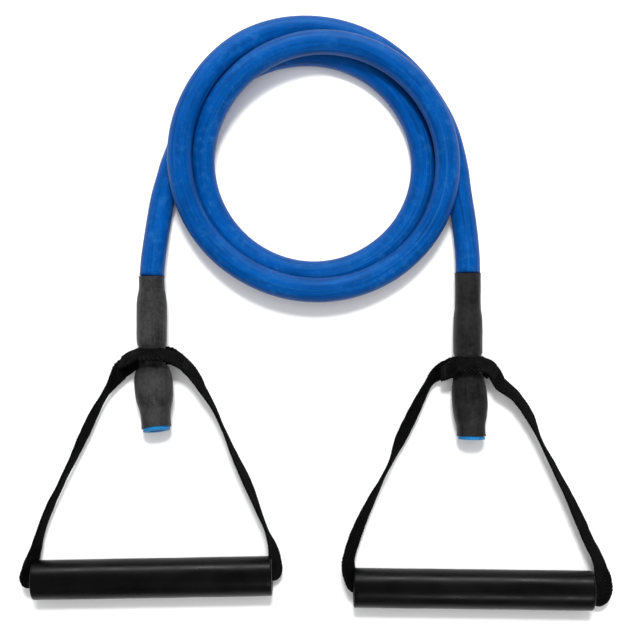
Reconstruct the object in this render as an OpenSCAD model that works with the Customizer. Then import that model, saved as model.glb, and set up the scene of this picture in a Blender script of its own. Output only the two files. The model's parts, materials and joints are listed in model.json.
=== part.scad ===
// Exercise tube with two handles, laid out flat with its tube wound into a loose coil.
// Origin: on the floor, in the middle of the two handles. +X runs along the handles,
// +Y from the handles towards the coil, +Z up. All sizes are in millimetres.

/* [Tube] */
// Outer diameter of the rubber tube
tube_d = 13; // [12:0.1:13.2]
// Inner diameter of the rubber tube
tube_bore_d = 6.5; // [5:0.5:7.5]
// Radius of the coil at its outer edge
coil_outer_r = 81; // [81:0.5:84]
// Radius of the opening in the middle of the coil
coil_inner_r = 51; // [48:0.5:51]
// Height of the stacked turns
coil_height = 30; // [28:1:34]

/* [Tube ends] */
// Height of the tube's axis where it runs through the sleeves
end_axis_z = 10.3; // [10.3:0.1:12]
// Wall of the thin outer sleeve
outer_sleeve_wall = 0.5; // [0.3:0.05:0.6]
// Wall of the thicker inner sleeve
inner_sleeve_wall = 0.9; // [0.6:0.05:1]
// Radius of the neck that the webbing runs round
neck_r = 7.2; // [7.1:0.05:7.25]

/* [Webbing] */
// Width of the webbing
web_w = 9.5; // [8:0.5:9.6]
// Thickness of the webbing
web_t = 1.5; // [1.2:0.1:1.6]
// Radial gap between the webbing eye and the neck
eye_gap = 0.06; // [0.05:0.01:0.1]

/* [Grips] */
// Length of each grip
grip_l = 127; // [120:1:128]
// Outer diameter of the grip cover
grip_d = 21; // [20:0.5:21]
// Outer diameter of the rigid core under the cover
core_d = 15; // [14:0.5:16]
// Bore of the core, which the webbing runs through
core_bore_d = 11; // [10.6:0.2:12]

/* [Hidden] */
$fn = 64;

LEFT = 0;
RIGHT = 1;
rubber_blue = [0.02, 0.33, 0.68];
sleeve_grey = [0.22, 0.22, 0.22];
web_black = [0.04, 0.04, 0.04];
thread_grey = [0.12, 0.12, 0.12];
grip_black = [0.06, 0.06, 0.06];
plug_white = [0.85, 0.84, 0.8];

// Middle of the coil, and of each neck and grip
coil_at = [-2, 148.5];
neck_at = [[-87.6, 46.2, end_axis_z], [80, 41.8, end_axis_z]];
grip_at = [[-87.2, -71.8, grip_d / 2], [82.8, -77.7, grip_d / 2]];
// Turn of each grip's axis away from +X
grip_turn = [1, -0.7];

// The webbing eye spans the neck, from its tip towards -X to its tip towards +X
eye_bore_r = neck_r + eye_gap;
eye_r = eye_bore_r + web_t;
eye_tips = [[-17.5, 20.5], [-16.5, 16]];
tip_flat = 4;
// Slit left between the two layers where they meet
eye_slit = 0.1;
// Rows of thread across each tip
stitch_rows = 3;
stitch_pitch = 1.1;
stitch_edge = 0.8;
thread_d = 0.7;

// Outside of each sleeved end: distance along the axis from the neck, and radius.
// Plus is towards the coil.
neck_half = web_w / 2 + 0.2;
sleeve_end = -38.3;
upper_profile = [
    [[42, 6.8], [35.5, 6.8], [31.5, 7.5], [26.5, 8], [8.5, 8], [5.6, 7.7]],
    [[48, 6.8], [30, 6.9], [23, 7.65], [5.6, 7.65]]
];
lower_profile = [
    [[-5.6, 7.8], [-10, 9.8], [-16, 10.2], [-23.5, 9.7], [-28.5, 8.4], [-31.5, 7.9],
     [sleeve_end, 7.8]],
    [[-5.6, 7.8], [-12.5, 9.1], [-21, 9.5], [-28, 8.7], [-33, 7.65], [sleeve_end, 7.6]]
];
// The inner sleeve stops short of the outer one at both ends
inner_sleeve_from = [30, 22];
inner_sleeve_to = -31;
// The cut end of the tube shows past the sleeves
cut_end = -40.2;
cut_end_r = 7.2;
cut_bore_r = 4.2;
// The plug sits in the bulge
plug_from = -7;
plug_to = -28;
plug_taper = 5;
plug_r = 6.2;
plug_end_r = 4;

// Routes of the tube from each sleeve to the coil, along the middle of the tube
tail_route = [
    [[-87.6, 88.2, 10.3], [-87, 97, 9.4], [-85.8, 107, 7.8], [-84.2, 118, 6.8],
     [-82, 130, 6.6], [-78.9, 141, 6.6], [-76.7, 148.4, 6.6]],
    [[80, 89.8, 10.3], [79.9, 99, 9.2], [79.2, 109, 7.6], [77.9, 120, 6.8],
     [76, 132, 6.6], [73.6, 148.4, 6.6]]
];

// Routes of the webbing legs: x, y, z and roll. Roll 0 lies flat, roll 90 stands on edge.
// The outer leg is the one away from the other handle.
outer_leg = [
    [[-103.4, 39.6, 10.3, 12], [-107.6, 33, 10.3, 40], [-112.4, 26, 10.3, 65], [-118, 16, 10.3, 55],
     [-124.4, 3.5, 10.4, 58], [-131, -9, 10.4, 68], [-137, -22.5, 10.5, 72], [-142, -33.5, 10.5, 78],
     [-146.6, -47, 10.5, 76], [-151, -58, 10.5, 70], [-154.4, -66, 10.5, 86], [-155, -70.6, 10.5, 90]],
    [[96.5, 33.2, 10.3, 12], [100.5, 29.8, 10.3, 30], [106, 24.5, 10.3, 50], [113, 13.5, 10.3, 60],
     [119, 2, 10.4, 84], [125.8, -12, 10.4, 78], [133, -27, 10.5, 62], [140, -41, 10.5, 58],
     [145.8, -53, 10.5, 52], [150.2, -64, 10.5, 68], [152.2, -72, 10.5, 88], [152.3, -76.6, 10.5, 90]]
];
inner_leg = [
    [[-68, 38.2, 10.3, 12], [-65, 36.5, 10.3, 48], [-60.5, 29, 10.3, 60], [-55, 18.5, 10.3, 66],
     [-49, 6, 10.4, 84], [-42, -10, 10.4, 66], [-36, -25, 10.5, 72], [-30.5, -38, 10.5, 84],
     [-25.4, -49, 10.5, 76], [-21.6, -58, 10.5, 66], [-20.2, -65, 10.5, 86], [-20.4, -69.8, 10.5, 90]],
    [[65.2, 34.2, 10.3, 12], [61.4, 31, 10.3, 48], [56, 24, 10.3, 58], [49.5, 14, 10.3, 62],
     [43.5, 1.6, 10.4, 76], [38, -13, 10.4, 84], [31.6, -27, 10.5, 66], [25.4, -39, 10.5, 60],
     [20.4, -50, 10.5, 48], [16.8, -61, 10.5, 62], [15.8, -70, 10.5, 86], [15.9, -75.4, 10.5, 90]]
];
// The run through the grip reaches past the grip's ends as far as the legs' outer faces
run_past_end = 4.2;

tube_sides = 10;
// Pieces that each stretch of a webbing leg is cut into
leg_steps = 3;

// ---- vectors and sweeps ----

function unit(v) = v / norm(v);
function xyz(p) = [p[0], p[1], p[2]];

// Direction of a route at point i
function heading(route, i) =
    unit(xyz(route[min(i + 1, len(route) - 1)]) - xyz(route[max(i - 1, 0)]));

function level_side(h) = unit([h[1], -h[0], 0]);

// Ring of n points round a tube at point i of its route
function tube_ring(route, i, r, n) =
    let (h = heading(route, i), side = level_side(h), up = cross(side, h))
    [for (k = [0 : n - 1]) xyz(route[i]) + r * (cos(360 * k / n) * side + sin(360 * k / n) * up)];

// A point a share t of the way from b to c, on a smooth curve through a, b, c and d
function between(a, b, c, d, t) =
    b + t / 2 * ((c - a) + t * ((2 * a - 5 * b + 4 * c - d) + t * (3 * (b - c) + d - a)));

// A route with more points, on a smooth curve through the ones it has
function finer(route, steps) = [
    for (i = [0 : len(route) - 2], k = [0 : steps - 1])
        between(
            route[max(i - 1, 0)], route[i], route[i + 1],
            route[min(i + 2, len(route) - 1)], k / steps
        ),
    route[len(route) - 1]
];

// Four corners of a strap at point i of its route
function strap_ring(route, i, w, t) =
    let (
        h = heading(route, i),
        side = level_side(h),
        up = cross(side, h),
        roll = route[i][3],
        wide = cos(roll) * side + sin(roll) * up,
        thick = cross(wide, h)
    )
    [for (c = [[1, 1], [-1, 1], [-1, -1], [1, -1]])
        xyz(route[i]) + c[0] * w / 2 * wide + c[1] * t / 2 * thick];

// A closed solid through rings of n points each
module skin(rings, n) {
    last = len(rings) - 1;
    sides = [for (i = [0 : last - 1], k = [0 : n - 1])
        let (a = i * n + k, b = i * n + (k + 1) % n)
        each k < n / 2
            ? [[a, b, b + n], [a, b + n, a + n]]
            : [[a, b, a + n], [b, b + n, a + n]]];
    polyhedron(
        points = [for (ring = rings) each ring],
        faces = concat(
            [[for (k = [n - 1 : -1 : 0]) k]],
            sides,
            [[for (k = [0 : n - 1]) last * n + k]]
        )
    );
}

// ---- the tube's ends ----

// Puts a shape turned about +Y, with the neck at its middle, where the end lies
module at_neck(side) {
    translate(neck_at[side]) rotate([-90, 0, 0]) children();
}

// Turns the outline between two profiles of [distance, radius]
module turned(outside, inside) {
    rotate_extrude()
        polygon(concat(
            [for (p = outside) [p[1], p[0]]],
            [for (i = [len(inside) - 1 : -1 : 0]) [inside[i][1], inside[i][0]]]
        ));
}

// Outside of the outer sleeve, with the neck between its two shoulders
function sleeve_outside(side) =
    concat(upper_profile[side], [[neck_half, neck_r], [-neck_half, neck_r]], lower_profile[side]);

function thinned(profile, by) = [for (p = profile) [p[0], p[1] - by]];

// The stretch of a profile between two distances
function stretch(profile, from, to) = concat(
    [[from, lookup(from, profile)]],
    [for (p = profile) if (p[0] < from && p[0] > to) p],
    [[to, lookup(to, profile)]]
);

function sleeve_top(side) = upper_profile[side][0][0];
function sleeve_inside(side) = thinned(sleeve_outside(side), outer_sleeve_wall);
function inner_sleeve_outside(side) =
    stretch(sleeve_inside(side), inner_sleeve_from[side], inner_sleeve_to);
function inner_sleeve_inside(side) = thinned(inner_sleeve_outside(side), inner_sleeve_wall);

// Outside of the tube: under the outer sleeve, under both sleeves, and out to its cut end
function tube_end_outside(side) = concat(
    stretch(sleeve_inside(side), sleeve_top(side), inner_sleeve_from[side]),
    inner_sleeve_inside(side),
    stretch(sleeve_inside(side), inner_sleeve_to, sleeve_end),
    [[sleeve_end, cut_end_r], [cut_end, cut_end_r]]
);

// Bore of the tube, stretched over the plug
plug_outside = [
    [plug_from, tube_bore_d / 2], [plug_from - plug_taper, plug_r],
    [plug_to + plug_taper, plug_r], [plug_to, plug_end_r]
];
function tube_end_bore(side) = concat(
    [[sleeve_top(side), tube_bore_d / 2]], plug_outside, [[cut_end, cut_bore_r]]
);

module outer_sleeve(side) {
    color(sleeve_grey) at_neck(side) turned(sleeve_outside(side), sleeve_inside(side));
}

module inner_sleeve(side) {
    color(sleeve_grey) at_neck(side)
        turned(inner_sleeve_outside(side), inner_sleeve_inside(side));
}

module tube_end(side) {
    color(rubber_blue) at_neck(side) turned(tube_end_outside(side), tube_end_bore(side));
}

module end_plug(side) {
    color(plug_white) at_neck(side) turned(plug_outside, [[plug_from, 0], [plug_to, 0]]);
}

// ---- the tube ----

module tube_tail(side) {
    route = tail_route[side];
    color(rubber_blue) skin(
        [for (i = [0 : len(route) - 1]) tube_ring(route, i, tube_d / 2, tube_sides)],
        tube_sides
    );
}

// Outer shape of the wound turns
module tube_coil() {
    color(rubber_blue) translate(coil_at) rotate_extrude()
        translate([coil_inner_r, 0]) square([coil_outer_r - coil_inner_r, coil_height]);
}

// ---- the webbing ----

// Where a line from point p touches a circle of radius r, above (+1) or below (-1) it
function touch_point(p, r, way) =
    let (at = atan2(p[1], p[0]), open = acos(r / norm(p)), lean = p[0] > 0 ? way : -way)
    r * [cos(at + lean * open), sin(at + lean * open)];

// The eye on one side of the neck: straight from the round to the flat tip
module eye_wing(tip, r, half, flat, deep) {
    from = tip > 0 ? tip - tip_flat : tip + tip_flat;
    end = tip > 0 ? from + flat : from - flat;
    linear_extrude(deep, center = true) polygon([
        [0, 0], touch_point([from, half], r, 1), [from, half], [end, half],
        [end, -half], [from, -half], touch_point([from, -half], r, -1)
    ]);
}

// One layer of webbing before and behind the neck, laid flat on each other at both tips
module strap_eye(side) {
    color(web_black) translate(neck_at[side]) rotate([90, 0, 0]) difference() {
        union() {
            cylinder(r = eye_r, h = web_w, center = true);
            for (tip = eye_tips[side]) eye_wing(tip, eye_r, web_t, tip_flat, web_w);
        }
        cylinder(r = eye_bore_r, h = web_w + 1, center = true);
        for (tip = eye_tips[side])
            eye_wing(tip, eye_bore_r, eye_slit / 2, eye_slit, web_w + 1);
    }
}

// Rows of thread across both faces of the eye's flat tips
module eye_stitching(side) {
    color(thread_grey)
        for (tip = eye_tips[side], row = [0 : stitch_rows - 1], face = [-1, 1]) {
            inward = tip > 0 ? -1 : 1;
            across = tip + inward * (stitch_edge + row * stitch_pitch);
            translate(neck_at[side] + [across, 0, face * web_t]) rotate([90, 0, 0])
                cylinder(d = thread_d, h = web_w - 2 * stitch_edge, center = true);
        }
}

module strap_leg(stations) {
    route = finer(stations, leg_steps);
    color(web_black) skin(
        [for (i = [0 : len(route) - 1]) strap_ring(route, i, web_w, web_t)],
        4
    );
}

// ---- the grips ----

module at_grip(side) {
    translate(grip_at[side]) rotate([0, 0, grip_turn[side]]) children();
}

// The webbing stands on edge inside the core, and reaches past the legs' outer faces
module strap_grip_run(side) {
    color(web_black) at_grip(side)
        cube([grip_l + 2 * run_past_end, web_t, web_w], center = true);
}

module pipe(length, outer, bore) {
    rotate([0, 90, 0]) difference() {
        cylinder(d = outer, h = length, center = true);
        cylinder(d = bore, h = length + 1, center = true);
    }
}

module grip_core(side) {
    color(grip_black) at_grip(side) pipe(grip_l, core_d, core_bore_d);
}

module grip_cover(side) {
    color(grip_black) at_grip(side) pipe(grip_l, grip_d, core_d);
}

tube_coil();
tube_tail(LEFT);  // left_tube_tail
tube_tail(RIGHT);  // right_tube_tail
tube_end(LEFT);  // left_tube_end
tube_end(RIGHT);  // right_tube_end
end_plug(LEFT);  // left_end_plug
end_plug(RIGHT);  // right_end_plug
inner_sleeve(LEFT);  // left_inner_sleeve
inner_sleeve(RIGHT);  // right_inner_sleeve
outer_sleeve(LEFT);  // left_outer_sleeve
outer_sleeve(RIGHT);  // right_outer_sleeve
strap_eye(LEFT);  // left_strap_eye
strap_eye(RIGHT);  // right_strap_eye
eye_stitching(LEFT);  // left_eye_stitching
eye_stitching(RIGHT);  // right_eye_stitching
strap_leg(outer_leg[LEFT]);  // left_strap_outer_leg
strap_leg(outer_leg[RIGHT]);  // right_strap_outer_leg
strap_leg(inner_leg[LEFT]);  // left_strap_inner_leg
strap_leg(inner_leg[RIGHT]);  // right_strap_inner_leg
strap_grip_run(LEFT);  // left_strap_grip_run
strap_grip_run(RIGHT);  // right_strap_grip_run
grip_core(LEFT);  // left_grip_core
grip_core(RIGHT);  // right_grip_core
grip_cover(LEFT);  // left_grip_cover
grip_cover(RIGHT);  // right_grip_cover
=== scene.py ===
"""Exercise tube with two handles: detailed pieces, materials, floor, light and camera.

Lengths are in metres, in the frame of the CAD model: +X along the handles, +Y from the
handles towards the coil, +Z up, with the floor at z = 0.
"""

import json
import math

import bpy
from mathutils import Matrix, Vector, noise

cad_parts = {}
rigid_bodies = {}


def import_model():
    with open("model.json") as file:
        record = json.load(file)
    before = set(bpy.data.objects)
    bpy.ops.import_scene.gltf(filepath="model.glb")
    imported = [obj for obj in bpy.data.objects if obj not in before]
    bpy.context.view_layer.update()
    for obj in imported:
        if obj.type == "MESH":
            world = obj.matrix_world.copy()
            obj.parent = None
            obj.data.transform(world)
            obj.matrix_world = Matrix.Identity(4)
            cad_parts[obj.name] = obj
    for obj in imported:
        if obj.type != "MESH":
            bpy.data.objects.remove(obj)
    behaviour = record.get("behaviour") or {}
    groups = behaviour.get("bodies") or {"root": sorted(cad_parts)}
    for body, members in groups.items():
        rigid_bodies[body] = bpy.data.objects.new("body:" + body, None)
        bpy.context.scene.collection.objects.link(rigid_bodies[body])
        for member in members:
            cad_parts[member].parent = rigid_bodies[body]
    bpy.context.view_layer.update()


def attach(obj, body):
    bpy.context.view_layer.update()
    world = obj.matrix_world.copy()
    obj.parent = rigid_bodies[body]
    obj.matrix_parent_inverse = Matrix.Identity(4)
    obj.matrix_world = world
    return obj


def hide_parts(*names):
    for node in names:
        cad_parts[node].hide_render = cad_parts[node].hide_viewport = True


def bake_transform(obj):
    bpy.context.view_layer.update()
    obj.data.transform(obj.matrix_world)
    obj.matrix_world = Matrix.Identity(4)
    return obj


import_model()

SIDES = ("left", "right")

# ---- sizes, as in the CAD model ----

TUBE_R = 0.0065
BORE_R = 0.00325
NECK_R = 0.0072
EYE_GAP = 0.0001
WEB_W = 0.0095
WEB_T = 0.0015
# Pitch of the webbing's ribs along it, and how far they slant for each unit across it
RIB_PITCH = 0.0018
RIB_SLANT = 1.1
GRIP_L = 0.127
GRIP_R = 0.0105
CORE_R = 0.0075
CORE_BORE_R = 0.0055
OUTER_WALL = 0.0005
INNER_WALL = 0.0009

NECK = {"left": (-0.0876, 0.0462, 0.0103), "right": (0.08, 0.0418, 0.0103)}
GRIP_AT = {"left": (-0.0872, -0.0718, 0.0105), "right": (0.0828, -0.0777, 0.0105)}
GRIP_TURN = {"left": math.radians(1), "right": math.radians(-0.7)}

# Tube between the two sleeves
TAIL_ROUTE = {
    "left": [
        (-0.0876, 0.0882, 0.0103), (-0.087, 0.097, 0.0094), (-0.0858, 0.107, 0.0078),
        (-0.0842, 0.118, 0.0068), (-0.082, 0.13, 0.0066), (-0.0789, 0.141, 0.0066),
    ],
    "right": [
        (0.08, 0.0898, 0.0103), (0.0799, 0.099, 0.0092), (0.0792, 0.109, 0.0076),
        (0.0779, 0.12, 0.0068), (0.076, 0.132, 0.0066),
    ],
}
COIL_AT = Vector((-0.0021, 0.1484, 0))
# Radius and height of the tube's middle at every twelfth of a turn, clockwise from -X.
# The first turn lies on the floor, the second runs up over it, and the third comes down
# outside both and back under the second.
COIL_STEP = math.radians(30)
COIL_STATIONS = [
    (0.0746, 0.0066), (0.0648, 0.0066), (0.0608, 0.0066), (0.0583, 0.0066),
    (0.0575, 0.0066), (0.0575, 0.0066), (0.0587, 0.0066), (0.0591, 0.0066),
    (0.0588, 0.0066), (0.0586, 0.0066), (0.0583, 0.0066), (0.0584, 0.0066),
    (0.0587, 0.0095), (0.0581, 0.018), (0.0595, 0.0196), (0.0621, 0.0192),
    (0.0648, 0.02), (0.0682, 0.0195), (0.0707, 0.0185), (0.0708, 0.0146),
    (0.0691, 0.0142), (0.0676, 0.0159), (0.0673, 0.0159), (0.0688, 0.0147),
    (0.07, 0.0194), (0.0712, 0.0178), (0.0728, 0.013), (0.0722, 0.0066),
    (0.0703, 0.0075), (0.0705, 0.0066), (0.0757, 0.0066),
]

# Outside of each sleeved end: distance along its axis from the neck, and radius
NECK_HALF = 0.00495
SLEEVE_PROFILE = {
    "left": [
        (0.042, 0.0068), (0.0355, 0.0068), (0.0315, 0.0075), (0.0265, 0.008),
        (0.0085, 0.008), (0.0056, 0.0077), (NECK_HALF, NECK_R), (-NECK_HALF, NECK_R),
        (-0.0056, 0.0078), (-0.01, 0.0098), (-0.016, 0.0102), (-0.0235, 0.0097),
        (-0.0285, 0.0084), (-0.0315, 0.0079), (-0.0383, 0.0078),
    ],
    "right": [
        (0.048, 0.0068), (0.03, 0.0069), (0.023, 0.00765), (0.0056, 0.00765),
        (NECK_HALF, NECK_R), (-NECK_HALF, NECK_R), (-0.0056, 0.0078), (-0.0125, 0.0091),
        (-0.021, 0.0095), (-0.028, 0.0087), (-0.033, 0.00765), (-0.0383, 0.0076),
    ],
}
INNER_SLEEVE_FROM = {"left": 0.03, "right": 0.022}
INNER_SLEEVE_TO = -0.031
CUT_END = -0.0402
CUT_END_R = 0.0072
CUT_BORE_R = 0.0042
PLUG = [(-0.007, BORE_R), (-0.012, 0.0062), (-0.023, 0.0062), (-0.028, 0.004)]
# How far each lower end leans towards +X, and how the cut slants upwards and sideways
END_LEAN = {"left": math.radians(3.7), "right": math.radians(2.8)}
CUT_SLANT = {"left": (0.16, 0.05), "right": (0.04, -0.06)}

# Webbing legs: x, y, z and roll in degrees. Roll 0 lies flat, roll 90 stands on edge.
# The front leg goes on from the layer above the neck, and the back leg from the one below.
FRONT_LEG = {
    "left": [
        (-0.065, 0.0354, 0.0104, 60), (-0.0607, 0.0282, 0.0103, 73),
        (-0.055, 0.0188, 0.0103, 85), (-0.0499, 0.0075, 0.0104, 91),
        (-0.0434, -0.0075, 0.0104, 79), (-0.0371, -0.0208, 0.0105, 71),
        (-0.0308, -0.0364, 0.0105, 83), (-0.0267, -0.0468, 0.0105, 89),
        (-0.0236, -0.0555, 0.0105, 68), (-0.0224, -0.0622, 0.0105, 50),
    ],
    "right": [
        (0.0976, 0.0309, 0.0103, 42), (0.1056, 0.0243, 0.0103, 55),
        (0.113, 0.0135, 0.0103, 60), (0.1181, 0.002, 0.0104, 79),
        (0.1251, -0.012, 0.0104, 72), (0.1328, -0.027, 0.0105, 64),
        (0.139, -0.0405, 0.0105, 54), (0.1438, -0.0515, 0.0105, 53),
        (0.1487, -0.0615, 0.0105, 49),
    ],
}
BACK_LEG = {
    "left": [
        (-0.1038, 0.0386, 0.0086, 22), (-0.108, 0.032, 0.0098, 60),
        (-0.1128, 0.025, 0.0102, 79), (-0.1179, 0.016, 0.0103, 72),
        (-0.1237, 0.0035, 0.0104, 69), (-0.1295, -0.009, 0.0104, 78),
        (-0.1359, -0.0222, 0.0105, 82), (-0.1413, -0.0335, 0.0105, 76),
        (-0.1464, -0.047, 0.0105, 75), (-0.1493, -0.0572, 0.0105, 64),
        (-0.151, -0.0622, 0.0105, 53),
    ],
    "right": [
        (0.0638, 0.0366, 0.0086, 38), (0.0592, 0.0315, 0.0098, 63),
        (0.0553, 0.0243, 0.0102, 58), (0.0502, 0.014, 0.0103, 50),
        (0.0443, 0.0018, 0.0104, 53), (0.0398, -0.0088, 0.0104, 76),
        (0.0349, -0.0185, 0.0105, 80), (0.0305, -0.0272, 0.0105, 68),
        (0.0249, -0.0385, 0.0105, 58), (0.0202, -0.05, 0.0105, 50),
        (0.0169, -0.061, 0.0105, 50),
    ],
}
# The folds at the grips' mouths, from the leg into the bore, with the same roll
FRONT_FOLD = {
    "left": [
        (-0.022, -0.067, 0.0105, 46), (-0.0221, -0.0698, 0.0105, 52),
        (-0.0232, -0.0714, 0.0105, 64), (-0.0256, -0.0713, 0.0105, 76),
        (-0.0295, -0.0708, 0.0105, 88),
    ],
    "right": [
        (0.1508, -0.069, 0.0107, 32), (0.152, -0.0752, 0.0107, 12),
        (0.1515, -0.0812, 0.0106, 20), (0.1495, -0.0838, 0.0105, 44),
        (0.1466, -0.0822, 0.0105, 68), (0.142, -0.0794, 0.0105, 88),
    ],
}
BACK_FOLD = {
    "left": [
        (-0.1529, -0.067, 0.0105, 54), (-0.154, -0.0711, 0.0105, 56),
        (-0.1535, -0.0738, 0.0105, 64), (-0.1519, -0.0746, 0.0105, 74),
        (-0.1497, -0.0739, 0.0105, 84), (-0.1462, -0.073, 0.0105, 90),
    ],
    "right": [
        (0.0166, -0.0665, 0.0105, 46), (0.0174, -0.0722, 0.0105, 56),
        (0.0184, -0.076, 0.0105, 70), (0.0204, -0.0776, 0.0105, 82),
        (0.024, -0.0773, 0.0105, 90),
    ],
}
# The front layer over the neck: its cut end, its tilt and middle at the neck, and the
# point where it turns into the front leg
FRONT_END = {
    "left": [(-0.104, 0.0425, 0.0116, 58), (-0.0992, 0.0449, 0.0148, 54)],
    "right": [(0.0656, 0.0366, 0.0115, 40), (0.0702, 0.0386, 0.0142, 40)],
}
FRONT_TILT = {"left": 55, "right": 40}
FRONT_Y = {"left": 0.047, "right": 0.0417}
FRONT_TURN = {
    "left": [(-0.0757, 0.0446, 0.0154, 54), (-0.0702, 0.0413, 0.012, 52)],
    "right": [(0.091, 0.0398, 0.0146, 40), (0.0944, 0.036, 0.0116, 40)],
}
# The back layer under the neck, from the back leg to its cut end under the front layer
BACK_LAYER = {
    "left": [
        (-0.0985, 0.0425, 0.0061, -8), (-0.094, 0.0448, 0.0037, -13),
        (-0.0876, 0.046, 0.00225, -12), (-0.0808, 0.0459, 0.0034, 4),
        (-0.0758, 0.0447, 0.0066, 42), (-0.0729, 0.0432, 0.009, 60),
    ],
    "right": [
        (0.0692, 0.0388, 0.0061, -4), (0.0736, 0.0405, 0.0037, -12),
        (0.08, 0.0416, 0.00225, -12), (0.087, 0.0408, 0.0034, 0),
        (0.0912, 0.0388, 0.0064, 16), (0.0938, 0.0364, 0.0086, 28),
    ],
}


# ---- curves ----


def hermite(knots, values, at):
    """The value at a knot distance, on a smooth line through the values."""
    last = len(knots) - 1
    i = 0
    while i < last - 1 and knots[i + 1] < at:
        i += 1
    span = knots[i + 1] - knots[i]
    t = min(max((at - knots[i]) / span, 0), 1)

    def slope(k):
        a, b = max(k - 1, 0), min(k + 1, last)
        return [(q - p) / (knots[b] - knots[a]) for p, q in zip(values[a], values[b])]

    weights = (
        1 - 3 * t**2 + 2 * t**3,
        3 * t**2 - 2 * t**3,
        (t - 2 * t**2 + t**3) * span,
        (t**3 - t**2) * span,
    )
    terms = zip(values[i], values[i + 1], slope(i), slope(i + 1))
    return tuple(sum(w * v for w, v in zip(weights, term)) for term in terms)


def evenly(points, spacing):
    """Points about a spacing apart on a smooth curve through the given ones.

    Whatever follows x, y and z in a point, such as its roll, goes along smoothly too.
    """
    knots = [0.0]
    for p, q in zip(points, points[1:]):
        knots.append(knots[-1] + math.dist(p[:3], q[:3]))
    count = max(2, round(knots[-1] / spacing))
    return [hermite(knots, points, knots[-1] * k / count) for k in range(count + 1)]


def distances(points):
    """Distance along a line to each of its points."""
    out = [0.0]
    for p, q in zip(points, points[1:]):
        out.append(out[-1] + math.dist(p[:3], q[:3]))
    return out


def axes_at(points, i):
    """Heading, level side and upward direction of a route at point i."""
    ahead = points[min(i + 1, len(points) - 1)]
    behind = points[max(i - 1, 0)]
    heading = (Vector(ahead[:3]) - Vector(behind[:3])).normalized()
    side = Vector((heading.y, -heading.x, 0)).normalized()
    return heading, side, side.cross(heading)


def wander(x, y=0.0, z=0.0):
    """A smooth, repeatable unevenness between about -1 and 1."""
    return noise.noise(Vector((x, y, z)))


# ---- meshes ----


def skin(name, rings, around, along, loop=False, sharp=None):
    """A closed mesh through rings of points, with its UV map in metres.

    around gives each ring point's distance round the ring, with the full way round last,
    and along each ring's distance along the piece. With loop, the last ring joins the
    first, and otherwise both ends are closed.
    """
    n = len(rings[0])
    points = [p for ring in rings for p in ring]
    last = len(rings) if loop else len(rings) - 1
    faces, uvs = [], []
    for i in range(last):
        j = (i + 1) % len(rings)
        for k in range(n):
            m = (k + 1) % n
            faces.append((i * n + k, i * n + m, j * n + m, j * n + k))
            low, high = along[i], along[i + 1]
            left, right = around[k], around[k + 1]
            uvs += [(left, low), (right, low), (right, high), (left, high)]
    if not loop:
        for ring, order in ((0, range(n - 1, -1, -1)), (len(rings) - 1, range(n))):
            faces.append(tuple(ring * n + k for k in order))
            uvs += [(around[k], along[ring]) for k in order]
    mesh = bpy.data.meshes.new(name)
    mesh.from_pydata([tuple(p) for p in points], [], faces)
    layer = mesh.uv_layers.new(name="Surface")
    layer.data.foreach_set("uv", [x for uv in uvs for x in uv])
    mesh.polygons.foreach_set("use_smooth", [True] * len(mesh.polygons))
    if sharp is not None:
        mesh.set_sharp_from_angle(angle=math.radians(sharp))
    mesh.update()
    piece = bpy.data.objects.new(name, mesh)
    bpy.context.scene.collection.objects.link(piece)
    return piece


def swept_tube(name, route, radius, sides):
    """A round tube along a route."""
    rings = []
    for i, p in enumerate(route):
        _, side, up = axes_at(route, i)
        turns = [2 * math.pi * k / sides for k in range(sides)]
        rings.append([Vector(p) + radius * (math.cos(a) * side + math.sin(a) * up) for a in turns])
    around = [2 * math.pi * radius * k / sides for k in range(sides + 1)]
    return skin(name, rings, around, distances(route))


def turned(name, outline, place, sides=64, sharp=35):
    """A ring-shaped solid: its closed outline of (distance, radius), turned about an axis.

    place maps distance, radius and angle to a point.
    """
    rings = [
        [place(s, r, 2 * math.pi * k / sides) for k in range(sides)] for s, r in outline
    ]
    along = [0.0]
    closed = outline + outline[:1]
    for p, q in zip(closed, closed[1:]):
        along.append(along[-1] + math.dist(p, q))
    widest = max(r for _, r in outline)
    around = [2 * math.pi * widest * k / sides for k in range(sides + 1)]
    return skin(name, rings, around, along, loop=True, sharp=sharp)


def rounded_corner(at, into, out, radius, steps=4):
    """Points of a rounded corner of an outline, which comes along into and leaves along out."""
    corner, a, b = Vector(at), Vector(into).normalized(), Vector(out).normalized()
    start, end = corner - radius * a, corner + radius * b
    middle = start + radius * b
    points = []
    for k in range(steps + 1):
        t = math.pi / 2 * k / steps
        points.append(tuple(middle + radius * (math.sin(t) * a - math.cos(t) * b)))
    assert (start - Vector(points[0])).length < 1e-6 and (end - Vector(points[-1])).length < 1e-6
    return points


# ---- materials ----


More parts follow.
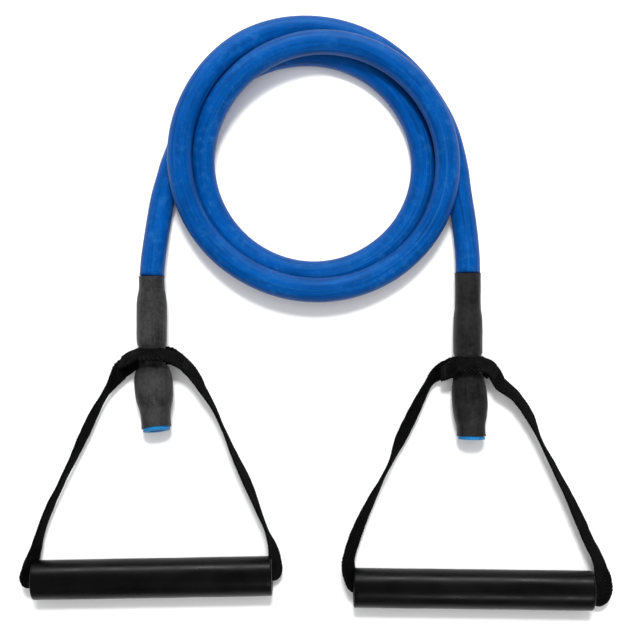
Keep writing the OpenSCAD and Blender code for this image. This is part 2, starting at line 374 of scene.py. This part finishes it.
class Shader:
    """Builds a material's nodes one after another."""

    def __init__(self, name, roughness, specular=0.5, sheen=0.0, tint=(1, 1, 1)):
        self.material = bpy.data.materials.new(name)
        self.material.use_nodes = True
        self.tree = self.material.node_tree
        self.surface = self.tree.nodes["Principled BSDF"]
        self.surface.inputs["Roughness"].default_value = roughness
        self.surface.inputs["Specular IOR Level"].default_value = specular
        self.surface.inputs["Sheen Weight"].default_value = sheen
        self.surface.inputs["Specular Tint"].default_value = (*tint, 1)

    def node(self, kind, settings=None, **inputs):
        made = self.tree.nodes.new("ShaderNode" + kind)
        for key, value in (settings or {}).items():
            setattr(made, key, value)
        for key, value in inputs.items():
            self.feed(made.inputs[key.replace("_", " ")], value)
        return made

    def feed(self, socket, value):
        if isinstance(value, bpy.types.NodeSocket):
            self.tree.links.new(value, socket)
        else:
            socket.default_value = value

    def math(self, operation, a, b=0.0):
        made = self.node("Math", {"operation": operation})
        self.feed(made.inputs[0], a)
        self.feed(made.inputs[1], b)
        return made.outputs[0]

    def objects(self):
        """Object coordinates, in metres."""
        return self.node("TexCoord").outputs["Object"]

    def surface_place(self, across=1.0, along=1.0):
        """The UV map in metres, scaled across and along the piece."""
        return self.node(
            "Mapping", Vector=self.node("TexCoord").outputs["UV"], Scale=(across, along, 1)
        ).outputs[0]

    def noise(self, vector, scale, detail=3.0, roughness=0.55):
        made = self.node("TexNoise", Vector=vector, Scale=scale, Detail=detail, Roughness=roughness)
        return made.outputs["Fac"]

    def ramp(self, value, low, high, steps):
        """A value from low to high turned into colours or levels at even places."""
        spread = self.node("MapRange", Value=value, From_Min=low, From_Max=high)
        made = self.node("ValToRGB", Fac=spread.outputs[0])
        ramp = made.color_ramp
        for i, colour in enumerate(steps):
            at = i / (len(steps) - 1)
            point = ramp.elements[i] if i < 2 else ramp.elements.new(at)
            point.position = at
            point.color = (*colour, 1)
        return made.outputs[0]

    def level(self, value, low, high, to_low, to_high):
        made = self.node(
            "MapRange", Value=value, From_Min=low, From_Max=high, To_Min=to_low, To_Max=to_high
        )
        return made.outputs[0]

    def mix(self, share, a, b):
        made = self.node("Mix", {"data_type": "RGBA"})
        self.feed(made.inputs[0], share)
        self.feed(made.inputs[6], a if isinstance(a, bpy.types.NodeSocket) else (*a, 1))
        self.feed(made.inputs[7], b if isinstance(b, bpy.types.NodeSocket) else (*b, 1))
        return made.outputs[2]

    def finish(self, colour=None, roughness=None, bumps=()):
        """bumps are (height, depth in metres, strength), laid one on another."""
        if colour is not None:
            self.tree.links.new(colour, self.surface.inputs["Base Color"])
        if roughness is not None:
            self.tree.links.new(roughness, self.surface.inputs["Roughness"])
        normal = None
        for height, depth, strength in bumps:
            made = self.node("Bump", Height=height, Distance=depth, Strength=strength)
            if normal is not None:
                self.tree.links.new(normal, made.inputs["Normal"])
            normal = made.outputs[0]
        if normal is not None:
            self.tree.links.new(normal, self.surface.inputs["Normal"])
        return self.material


def rubber_material(name, deep, light, chalky):
    """Dip-made blue rubber: satin, with chalky bloom, scuffs and faint lengthwise lines."""
    s = Shader(name, 0.5, specular=0.22, tint=(0.12, 0.5, 1.0))
    place = s.objects()
    broad = s.noise(place, 34, 3, 0.6)
    colour = s.ramp(broad, 0.32, 0.68, [deep, light])
    streaks = s.noise(s.surface_place(620, 24), 1, 4, 0.65)
    colour = s.mix(s.level(streaks, 0.42, 0.7, 0, 0.5), colour, tuple(1.5 * c for c in light))
    colour = s.mix(s.level(streaks, 0.48, 0.3, 0, 0.45), colour, tuple(0.6 * c for c in deep))
    bloom = s.noise(place, 260, 6, 0.75)
    chalk = s.math("MULTIPLY", s.level(bloom, 0.5, 0.68, 0, 1), s.level(broad, 0.4, 0.62, 0.1, 0.6))
    colour = s.mix(chalk, colour, chalky)
    line = s.noise(s.surface_place(900, 5), 1, 1)
    colour = s.mix(s.level(line, 0.66, 0.72, 0, 0.35), colour, chalky)
    fine = s.noise(place, 1500, 2)
    rough = s.level(bloom, 0.3, 0.7, 0.42, 0.58)
    return s.finish(colour, rough, [(streaks, 0.00016, 0.4), (bloom, 0.0001, 0.35), (fine, 0.00005, 0.3)])


def sleeve_material(name, dark, light):
    """Charcoal shrink sleeve: fine lengthwise streaks, greyer patches and light scuffs at random."""
    s = Shader(name, 0.5, specular=0.16)
    place = s.objects()
    streaks = s.noise(s.surface_place(1500, 45), 1, 4, 0.65)
    broad = s.noise(place, 55, 2, 0.5)
    patches = s.noise(place, 420, 5, 0.7)
    colour = s.ramp(broad, 0.36, 0.62, [(dark,) * 3, (light,) * 3])
    colour = s.mix(s.level(patches, 0.46, 0.66, 0, 0.55), colour, (light * 1.35,) * 3)
    colour = s.mix(s.level(patches, 0.5, 0.34, 0, 0.4), colour, (dark * 0.6,) * 3)
    colour = s.mix(s.level(streaks, 0.42, 0.72, 0, 0.4), colour, (light * 1.5,) * 3)
    scuffs = s.noise(s.surface_place(260, 700), 1, 5, 0.7)
    colour = s.mix(s.level(scuffs, 0.58, 0.72, 0, 0.45), colour, (light * 1.8,) * 3)
    rough = s.level(broad, 0.3, 0.7, 0.4, 0.56)
    return s.finish(colour, rough, [(streaks, 0.00014, 0.45), (scuffs, 0.00008, 0.4)])


def webbing_material():
    """Black woven webbing with ribs in a herringbone, whose raised crests are painted lighter as a
    painted highlight.
    """
    s = Shader("webbing", 0.8, specular=0.03)
    split = s.node("SeparateXYZ", Vector=s.node("TexCoord").outputs["UV"])
    across, along = split.outputs[0], split.outputs[1]
    half = s.math("ABSOLUTE", s.math("SUBTRACT", s.math("MODULO", across, WEB_W + WEB_T), WEB_W / 2))
    slanted = s.math("ADD", along, s.math("MULTIPLY", half, RIB_SLANT))
    ribs = s.math("SINE", s.math("MULTIPLY", slanted, 2 * math.pi / RIB_PITCH))
    warp_pitch = 0.00068
    warp = s.math("SINE", s.math("MULTIPLY", across, 2 * math.pi / warp_pitch))
    weave = s.math("ADD", s.math("MULTIPLY", ribs, 0.65), s.math("MULTIPLY", warp, 0.35))
    fuzz = s.noise(s.objects(), 1300, 3, 0.7)
    uneven = s.noise(s.objects(), 160, 3)
    # Colour from the weave and a random unevenness in tone: the ribs' crests are painted lighter, a
    # painted highlight on them.
    level = s.math("ADD", s.math("MULTIPLY", weave, 0.5), s.math("MULTIPLY", uneven, 0.9))
    colour = s.ramp(level, -0.2, 1.1, [(0.0001,) * 3, (0.0005,) * 3, (0.014,) * 3])
    colour = s.mix(s.level(fuzz, 0.58, 0.74, 0, 0.5), colour, (0.03,) * 3)
    return s.finish(colour, None, [(weave, 0.00022, 0.8), (fuzz, 0.0001, 0.4)])


def thread_material():
    """Twisted black sewing thread."""
    s = Shader("thread", 0.6, specular=0.12, sheen=0.02)
    twist = s.math("SINE", s.math("MULTIPLY", s.noise(s.objects(), 900, 1), 40))
    colour = s.ramp(twist, -1, 1, [(0.002,) * 3, (0.008,) * 3])
    return s.finish(colour, None, [(twist, 0.00008, 0.6)])


def vinyl_material(name, dark, light):
    """Black satin grip cover: handling marks, fine grain and a soft uneven gloss."""
    s = Shader(name, 0.34, specular=0.08)
    place = s.objects()
    smears = s.noise(s.surface_place(110, 45), 1, 4, 0.6)
    grain = s.noise(place, 2200, 3, 0.6)
    patches = s.noise(place, 60, 4)
    colour = s.ramp(patches, 0.3, 0.72, [(dark,) * 3, (light,) * 3])
    specks = s.noise(place, 900, 2)
    colour = s.mix(s.level(specks, 0.7, 0.78, 0, 0.3), colour, (0.03,) * 3)
    rough = s.level(smears, 0.3, 0.7, 0.24, 0.44)
    return s.finish(colour, rough, [(patches, 0.0003, 0.25), (grain, 0.00004, 0.35)])


def plug_material():
    """Pale moulded plastic with faint marbling."""
    s = Shader("plug_plastic", 0.4)
    colour = s.ramp(s.noise(s.objects(), 300, 4), 0.3, 0.7, [(0.62, 0.6, 0.55), (0.74, 0.72, 0.68)])
    return s.finish(colour, None, [(s.noise(s.objects(), 1500, 2), 0.00004, 0.3)])


MATERIALS = {
    "tube_rubber": rubber_material(
        "tube_rubber", (0.0, 0.037, 0.175), (0.0, 0.058, 0.262), (0.02, 0.125, 0.34)
    ),
    "cut_rubber": rubber_material(
        "cut_rubber", (0.006, 0.13, 0.33), (0.016, 0.17, 0.41), (0.07, 0.24, 0.48)
    ),
    "left_sleeve": sleeve_material("sleeve_rubber_left", 0.005, 0.032),
    "right_sleeve": sleeve_material("sleeve_rubber_right", 0.0015, 0.0145),
    "webbing": webbing_material(),
    "thread": thread_material(),
    "grip_vinyl": vinyl_material("grip_vinyl", 0.001, 0.003),
    "core_plastic": vinyl_material("core_plastic", 0.0012, 0.0032),
    "plug_plastic": plug_material(),
}


def finished(piece, slot, nodes, body=None, finish=None):
    """Gives a piece its finish and its body, and hides the CAD nodes that it stands for."""
    piece.data.materials.append(MATERIALS[finish or slot])
    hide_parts(*nodes)
    if body is not None:
        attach(piece, body)
    return piece


# ---- camera ----


def add_camera():
    """Straight above the middle of the picture, with the picture's top towards +Y."""
    data = bpy.data.cameras.new("camera")
    data.lens = 80.9
    data.sensor_width = 36
    data.clip_start = 0.01
    camera = bpy.data.objects.new("camera", data)
    camera.location = (0.0016, 0.065, 0.773)
    bpy.context.scene.collection.objects.link(camera)
    bpy.context.scene.camera = camera


# ---- the tube ----


def coil_route():
    """The wound turns, from the stations' radii and heights."""
    knots = [COIL_STEP * i for i in range(len(COIL_STATIONS))]
    points = []
    for step in range(2 * (len(COIL_STATIONS) - 1) + 1):
        turn = COIL_STEP * step / 2
        radius, height = hermite(knots, COIL_STATIONS, turn)
        ahead = Vector((-math.cos(turn), math.sin(turn), 0))
        points.append(tuple(COIL_AT + radius * ahead + Vector((0, 0, height))))
    return points


def add_tube():
    route = evenly(TAIL_ROUTE["left"] + coil_route() + TAIL_ROUTE["right"][::-1], 0.0025)
    tube = swept_tube("rubber_tube", route, TUBE_R, 40)
    finished(tube, "tube_rubber", ["tube_coil", "left_tube_tail", "right_tube_tail"], "tube")


# ---- the sleeved ends ----


def end_place(side):
    """Maps distance from the neck, radius and angle to a point, with the lean and the cut."""
    neck, lean, (rise, skew) = Vector(NECK[side]), END_LEAN[side], CUT_SLANT[side]
    slant_from, slant_to = -0.034, -0.038
    lean_over = 0.006

    def place(s, r, angle):
        bent = lean * min(max(-s / lean_over, 0), 1)
        axis = Vector((-math.sin(bent), math.cos(bent), 0))
        level = Vector((math.cos(bent), math.sin(bent), 0))
        x, z = r * math.cos(angle), r * math.sin(angle)
        cut = min(max((slant_from - s) / (slant_from - slant_to), 0), 1)
        return neck + (s + cut * (rise * z + skew * x)) * axis + x * level + Vector((0, 0, z))

    return place


def radius_of(profile, s):
    """Radius of a profile at a distance, on a smooth line through its points."""
    points = sorted(profile)
    return hermite([p[0] for p in points], [(p[1],) for p in points], s)[0]


def profile_between(profile, start, end, inset, step=0.0008):
    """Outline points of a profile from one distance to another, set in by a wall."""
    count = max(2, round(abs(start - end) / step))
    places = [start + (end - start) * k / count for k in range(count + 1)]
    return [(s, radius_of(profile, s) - inset) for s in places]


def sleeve_end(side):
    return SLEEVE_PROFILE[side][-1][0]


def sleeve_top(side):
    return SLEEVE_PROFILE[side][0][0]


def add_outer_sleeve(side):
    """Thin shrink sleeve with faint draw lines, small wrinkles at the neck and rolled lips."""
    profile = SLEEVE_PROFILE[side]
    top, end = sleeve_top(side), sleeve_end(side)
    outside = profile_between(profile, top, end, 0)
    inside = profile_between(profile, end, top, OUTER_WALL)
    place = end_place(side)
    seed = 3.0 if side == "left" else 11.0
    lip = 0.00022

    def shaped(s, r, angle):
        near_lip = math.exp(-(((s - top) / 0.0007) ** 2)) + math.exp(-(((s - end) / 0.0008) ** 2))
        draw = 0.00004 * wander(14 * math.cos(angle), 14 * math.sin(angle), s * 60 + seed)
        dent = 0.00016 * wander(2.2 * math.cos(angle), 2.2 * math.sin(angle), s * 110 + seed)
        folds = math.sin(s * 5200 + 1.5 * wander(2 * math.cos(angle), 2 * math.sin(angle), seed))
        folded = 0.00019 * folds * math.exp(-(((s + 0.0068) / 0.0016) ** 2))
        outer = r > radius_of(profile, s) - OUTER_WALL / 2
        shift = lip * near_lip + draw + dent + folded if outer else dent
        if abs(s) <= NECK_HALF + 0.0004:
            shift = 0
        return place(s, r + shift, angle)

    sleeve = turned(f"{side}_outer_sleeve_skin", outside + inside, shaped, sides=96, sharp=60)
    finished(sleeve, "sleeve_rubber", [f"{side}_outer_sleeve"], "tube", f"{side}_sleeve")


def add_inner_sleeve(side):
    profile = SLEEVE_PROFILE[side]
    start = INNER_SLEEVE_FROM[side]
    outside = profile_between(profile, start, INNER_SLEEVE_TO, OUTER_WALL + 0.0002)
    inside = profile_between(profile, INNER_SLEEVE_TO, start, OUTER_WALL + INNER_WALL)
    sleeve = turned(f"{side}_inner_sleeve_skin", outside + inside, end_place(side))
    finished(sleeve, "sleeve_rubber", [f"{side}_inner_sleeve"], "tube", f"{side}_sleeve")


def bore_radius(s):
    """Bore of the tube, stretched over its plug and open at the cut end."""
    points = [(CUT_END, CUT_BORE_R)] + PLUG[::-1] + [(0.05, BORE_R)]
    for (a, p), (b, q) in zip(points, points[1:]):
        if a <= s <= b:
            return p + (q - p) * (s - a) / (b - a)
    return CUT_BORE_R


def add_tube_end(side):
    """The end of the rubber tube inside its sleeves, cut off past them with an open bore."""
    profile = SLEEVE_PROFILE[side]
    gap = 0.0002
    both = OUTER_WALL + INNER_WALL + gap
    start, end = sleeve_top(side), sleeve_end(side)
    outside = profile_between(profile, start, INNER_SLEEVE_FROM[side] + 0.001, OUTER_WALL + gap)
    outside += profile_between(profile, INNER_SLEEVE_FROM[side] - 0.001, INNER_SLEEVE_TO, both)
    outside += profile_between(profile, INNER_SLEEVE_TO - 0.001, end, OUTER_WALL + gap)
    rim = 0.0004
    cut = rounded_corner((CUT_END, CUT_END_R), (-1, 0), (0, -1), rim)
    mouth = rounded_corner((CUT_END, CUT_BORE_R), (0, -1), (1, 0), rim)
    depth = start - CUT_END
    bore = [(s, bore_radius(s)) for s in (CUT_END + depth * k / 90 for k in range(1, 91))]
    piece = turned(f"{side}_tube_end_rubber", outside + cut + mouth + bore, end_place(side))
    finished(piece, "tube_rubber", [f"{side}_tube_end"], "tube", "cut_rubber")


def add_plug(side):
    inset = 0.00005
    solid = [(s, r - inset) for s, r in PLUG]
    flat_r = 0.0008
    rings = [(PLUG[0][0], flat_r)] + solid + [(PLUG[-1][0], flat_r)]
    place = end_place(side)
    sides = 48
    points = [[place(s, r, 2 * math.pi * k / sides) for k in range(sides)] for s, r in rings]
    around = [2 * math.pi * PLUG[1][1] * k / sides for k in range(sides + 1)]
    along = [0.0]
    for p, q in zip(rings, rings[1:]):
        along.append(along[-1] + math.dist(p, q))
    plug = skin(f"{side}_end_plug_moulding", points, around, along, sharp=35)
    finished(plug, "plug_plastic", [f"{side}_end_plug"], "tube")


# ---- the webbing ----


def neck_arc(side):
    """Stations of the front layer where it bends over the neck, as on a cone."""
    x, _, z = NECK[side]
    tilt = math.radians(FRONT_TILT[side])
    radius = NECK_R + EYE_GAP + WEB_W / 2 * math.sin(tilt) + WEB_T / 2 * math.cos(tilt)
    out = []
    for angle in (122, 106, 90, 74, 58):
        a = math.radians(angle)
        out.append((x + radius * math.cos(a), FRONT_Y[side], z + radius * math.sin(a), FRONT_TILT[side]))
    return out


def turned_back(stations):
    """A stretch of webbing followed the other way, with its faces changed over."""
    return [(x, y, z, 180 - roll) for x, y, z, roll in reversed(stations)]


def strap_stations(side):
    """The whole strip: cut end, over the neck, front leg, grip, back leg, under the neck."""
    grip, turn = Vector(GRIP_AT[side]), GRIP_TURN[side]
    along = Vector((math.cos(turn), math.sin(turn), 0))
    run = [tuple(grip + along * GRIP_L * share) + (90,) for share in (0.36, 0.12, -0.12, -0.36)]
    back_layer = [(x, y, z, roll + 180) for x, y, z, roll in BACK_LAYER[side]]
    return (
        FRONT_END[side] + neck_arc(side) + FRONT_TURN[side] + FRONT_LEG[side] + FRONT_FOLD[side]
        + run + turned_back(BACK_FOLD[side]) + turned_back(BACK_LEG[side]) + back_layer
    )


def strap_axes(route, i):
    """Middle, wide direction and face direction of the strap at point i."""
    heading, side, up = axes_at(route, i)
    roll = math.radians(route[i][3])
    wide = math.cos(roll) * side + math.sin(roll) * up
    return Vector(route[i][:3]), wide, wide.cross(heading)


def strap_outline():
    """The strap's cross-section: flat faces with round edges, each point with its distance."""
    across, edge = 18, 5
    flat, r = WEB_W / 2 - WEB_T / 2, WEB_T / 2
    points = [(flat - 2 * flat * k / across, r) for k in range(across)]
    points += [
        (-flat - r * math.sin(math.pi * k / edge), r * math.cos(math.pi * k / edge))
        for k in range(edge)
    ]
    points += [(-flat + 2 * flat * k / across, -r) for k in range(across)]
    points += [
        (flat + r * math.sin(math.pi * k / edge), -r * math.cos(math.pi * k / edge))
        for k in range(edge)
    ]
    around = [0.0]
    for p, q in zip(points, points[1:] + points[:1]):
        around.append(around[-1] + math.dist(p, q))
    return points, around


def add_strap(side):
    """One woven strip, doubled at the neck and run through the grip."""
    route = evenly(strap_stations(side), 0.00042)
    outline, around = strap_outline()
    travel = distances(route)
    pick, beat = 0.0026, 0.0041
    rings = []
    for i in range(len(route)):
        middle, wide, face = strap_axes(route, i)
        pucker = 0.00022 * wander(travel[i] * 110, 5.0 if side == "left" else 9.0)
        ring = []
        for u, v in outline:
            out = abs(u) / (WEB_W / 2)
            bumpy = math.sin(2 * math.pi * travel[i] / pick + u / WEB_W)
            bumpy += 0.8 * math.sin(2 * math.pi * travel[i] / beat + 5 * u / WEB_W)
            scallop = 0.00033 * bumpy * out**6
            chevron = math.sin(2 * math.pi * (travel[i] + RIB_SLANT * abs(u)) / RIB_PITCH)
            raised = 0.00012 * chevron * math.copysign(1, v) * (1 - out**8)
            ring.append(
                middle + (u + math.copysign(scallop, u)) * wide
                + (v + raised + pucker * (u / WEB_W) ** 2 * 4) * face
            )
        rings.append(ring)
    strap = skin(f"{side}_webbing_strap", rings, around, travel, sharp=50)
    nodes = [f"{side}_strap_{part}" for part in ("eye", "outer_leg", "inner_leg", "grip_run")]
    finished(strap, "webbing", nodes)
    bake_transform(strap)
    return route


def stitch(points, radius, sides=6):
    """Rings of one thread stitch that dips at both ends."""
    rings = []
    for i, p in enumerate(points):
        ahead = points[min(i + 1, len(points) - 1)]
        behind = points[max(i - 1, 0)]
        heading = (ahead - behind).normalized()
        a = heading.orthogonal().normalized()
        b = heading.cross(a)
        size = radius * (0.35 if i in (0, len(points) - 1) else 1)
        turns = [2 * math.pi * k / sides for k in range(sides)]
        rings.append([p + size * (math.cos(t) * a + math.sin(t) * b) for t in turns])
    return rings


def add_stitching(side, route):
    """Bar tacks that sew the layers together at both tips of the eye."""
    travel = distances(route)
    rows, per_row = 3, 6
    row_pitch, margin, length, radius = 0.0012, 0.0012, 0.00115, 0.00021
    turn_at = math.dist(FRONT_END[side][0][:3], FRONT_TURN[side][1][:3]) + 0.0075
    verts, faces = [], []
    for start in (margin, turn_at):
        for row in range(rows):
            want = start + row * row_pitch
            i = min(range(len(route)), key=lambda k: abs(travel[k] - want))
            middle, wide, face = strap_axes(route, i)
            for k in range(per_row):
                u = (k - (per_row - 1) / 2) * (WEB_W - 2 * margin) / per_row
                points = []
                for t in (-1, -0.6, 0, 0.6, 1):
                    lift = WEB_T / 2 + radius * (1.1 - 1.6 * t * t)
                    points.append(middle + (u + t * length / 2) * wide + lift * face)
                rings = stitch(points, radius)
                base, n = len(verts), len(rings[0])
                verts += [p for ring in rings for p in ring]
                for r in range(len(rings) - 1):
                    for m in range(n):
                        a, b = base + r * n + m, base + r * n + (m + 1) % n
                        faces.append((a, b, b + n, a + n))
                faces.append(tuple(base + m for m in range(n - 1, -1, -1)))
                faces.append(tuple(base + (len(rings) - 1) * n + m for m in range(n)))
    mesh = bpy.data.meshes.new(f"{side}_bar_tacks")
    mesh.from_pydata([tuple(v) for v in verts], [], faces)
    mesh.polygons.foreach_set("use_smooth", [True] * len(mesh.polygons))
    piece = bpy.data.objects.new(f"{side}_bar_tacks", mesh)
    bpy.context.scene.collection.objects.link(piece)
    finished(piece, "thread", [f"{side}_eye_stitching"], f"{side}_eye")


# ---- the grips ----


def grip_place(side):
    grip, turn = Vector(GRIP_AT[side]), GRIP_TURN[side]
    along = Vector((math.cos(turn), math.sin(turn), 0))
    across = Vector((-math.sin(turn), math.cos(turn), 0))

    def place(s, r, angle):
        return grip + s * along + r * math.cos(angle) * across + Vector((0, 0, r * math.sin(angle)))

    return place


def pipe_outline(length, outer, bore, rim, step=0.002):
    """Outline of a pipe whose rims are rounded."""
    half = length / 2
    count = round((length - 2 * rim) / step)
    places = [half - rim - (length - 2 * rim) * k / count for k in range(count + 1)]
    outside = [(s, outer) for s in places[1:-1]]
    inside = [(s, bore) for s in reversed(places[1:-1])]
    return (
        rounded_corner((half, outer), (0, 1), (-1, 0), rim) + outside
        + rounded_corner((-half, outer), (-1, 0), (0, -1), rim)
        + rounded_corner((-half, bore), (0, -1), (1, 0), rim / 2) + inside
        + rounded_corner((half, bore), (1, 0), (0, 1), rim / 2)
    )


def add_grip(side):
    """A soft cover, slightly uneven from handling, on a rigid core that shows at its mouths."""
    place = grip_place(side)
    seed = 21.0 if side == "left" else 33.0

    def soft(s, r, angle):
        outer = r > (GRIP_R + CORE_R) / 2
        wave = 0.00012 * wander(s * 38, 1.2 * math.cos(angle), 1.2 * math.sin(angle) + seed)
        return place(s, r + wave if outer else r, angle)

    cover = turned(
        f"{side}_grip_cover_skin", pipe_outline(GRIP_L, GRIP_R, CORE_R, 0.0011), soft, sides=96
    )
    finished(cover, "grip_vinyl", [f"{side}_grip_cover"], f"{side}_grip")
    core_outline = pipe_outline(GRIP_L - 0.0008, CORE_R - 0.00003, CORE_BORE_R, 0.0004)
    core = turned(f"{side}_grip_core_pipe", core_outline, place, sides=64)
    finished(core, "core_plastic", [f"{side}_grip_core"], f"{side}_grip")


# ---- floor and light ----


def add_floor():
    size = 3.0
    mesh = bpy.data.meshes.new("floor")
    corners = [(-size, -size, 0), (size, -size, 0), (size, size, 0), (-size, size, 0)]
    mesh.from_pydata(corners, [], [(0, 1, 2, 3)])
    floor = bpy.data.objects.new("floor", mesh)
    s = Shader("floor_white", 0.9, specular=0.0)
    paper = s.noise(s.objects(), 3, 2)
    floor.data.materials.append(s.finish(s.ramp(paper, 0, 1, [(0.93,) * 3, (0.95,) * 3])))
    bpy.context.scene.collection.objects.link(floor)


def add_light(name, location, target, size, power, hidden_from=None):
    """An area light, which may be kept out of reflections or out of the diffuse light."""
    data = bpy.data.lights.new(name, "AREA")
    data.shape = "RECTANGLE"
    data.size, data.size_y = size
    data.energy = power
    light = bpy.data.objects.new(name, data)
    light.location = location
    aim = Vector(target) - Vector(location)
    light.rotation_euler = aim.to_track_quat("-Z", "Y").to_euler()
    light.visible_glossy = hidden_from != "reflections"
    light.visible_diffuse = hidden_from != "diffuse"
    bpy.context.scene.collection.objects.link(light)


def add_world(level):
    world = bpy.data.worlds.new("studio")
    world.use_nodes = True
    background = world.node_tree.nodes["Background"]
    background.inputs["Color"].default_value = (1, 1, 1, 1)
    background.inputs["Strength"].default_value = level
    bpy.context.scene.world = world


add_camera()
add_tube()
for side in SIDES:
    add_outer_sleeve(side)
    add_inner_sleeve(side)
    add_tube_end(side)
    add_plug(side)
    strap_route = add_strap(side)
    add_stitching(side, strap_route)
    add_grip(side)

add_floor()
add_world(0.3)
add_light("key", (0.0, 0.84, 1.56), (0, 0.06, 0), (0.36, 0.26), 29, hidden_from="reflections")
add_light("top", (0.0, 0.1, 2.2), (0, 0.1, 0), (2.4, 2.4), 28, hidden_from="reflections")
add_light("strip", (0.0, 1.5, 0.66), (0, 0.0, 0), (1.6, 0.12), 45, hidden_from="diffuse")
add_light("front", (0.38, -0.9, 1.2), (0.1, 0, 0), (0.35, 0.25), 7, hidden_from="diffuse")
bpy.context.scene.view_settings.view_transform = "Standard"
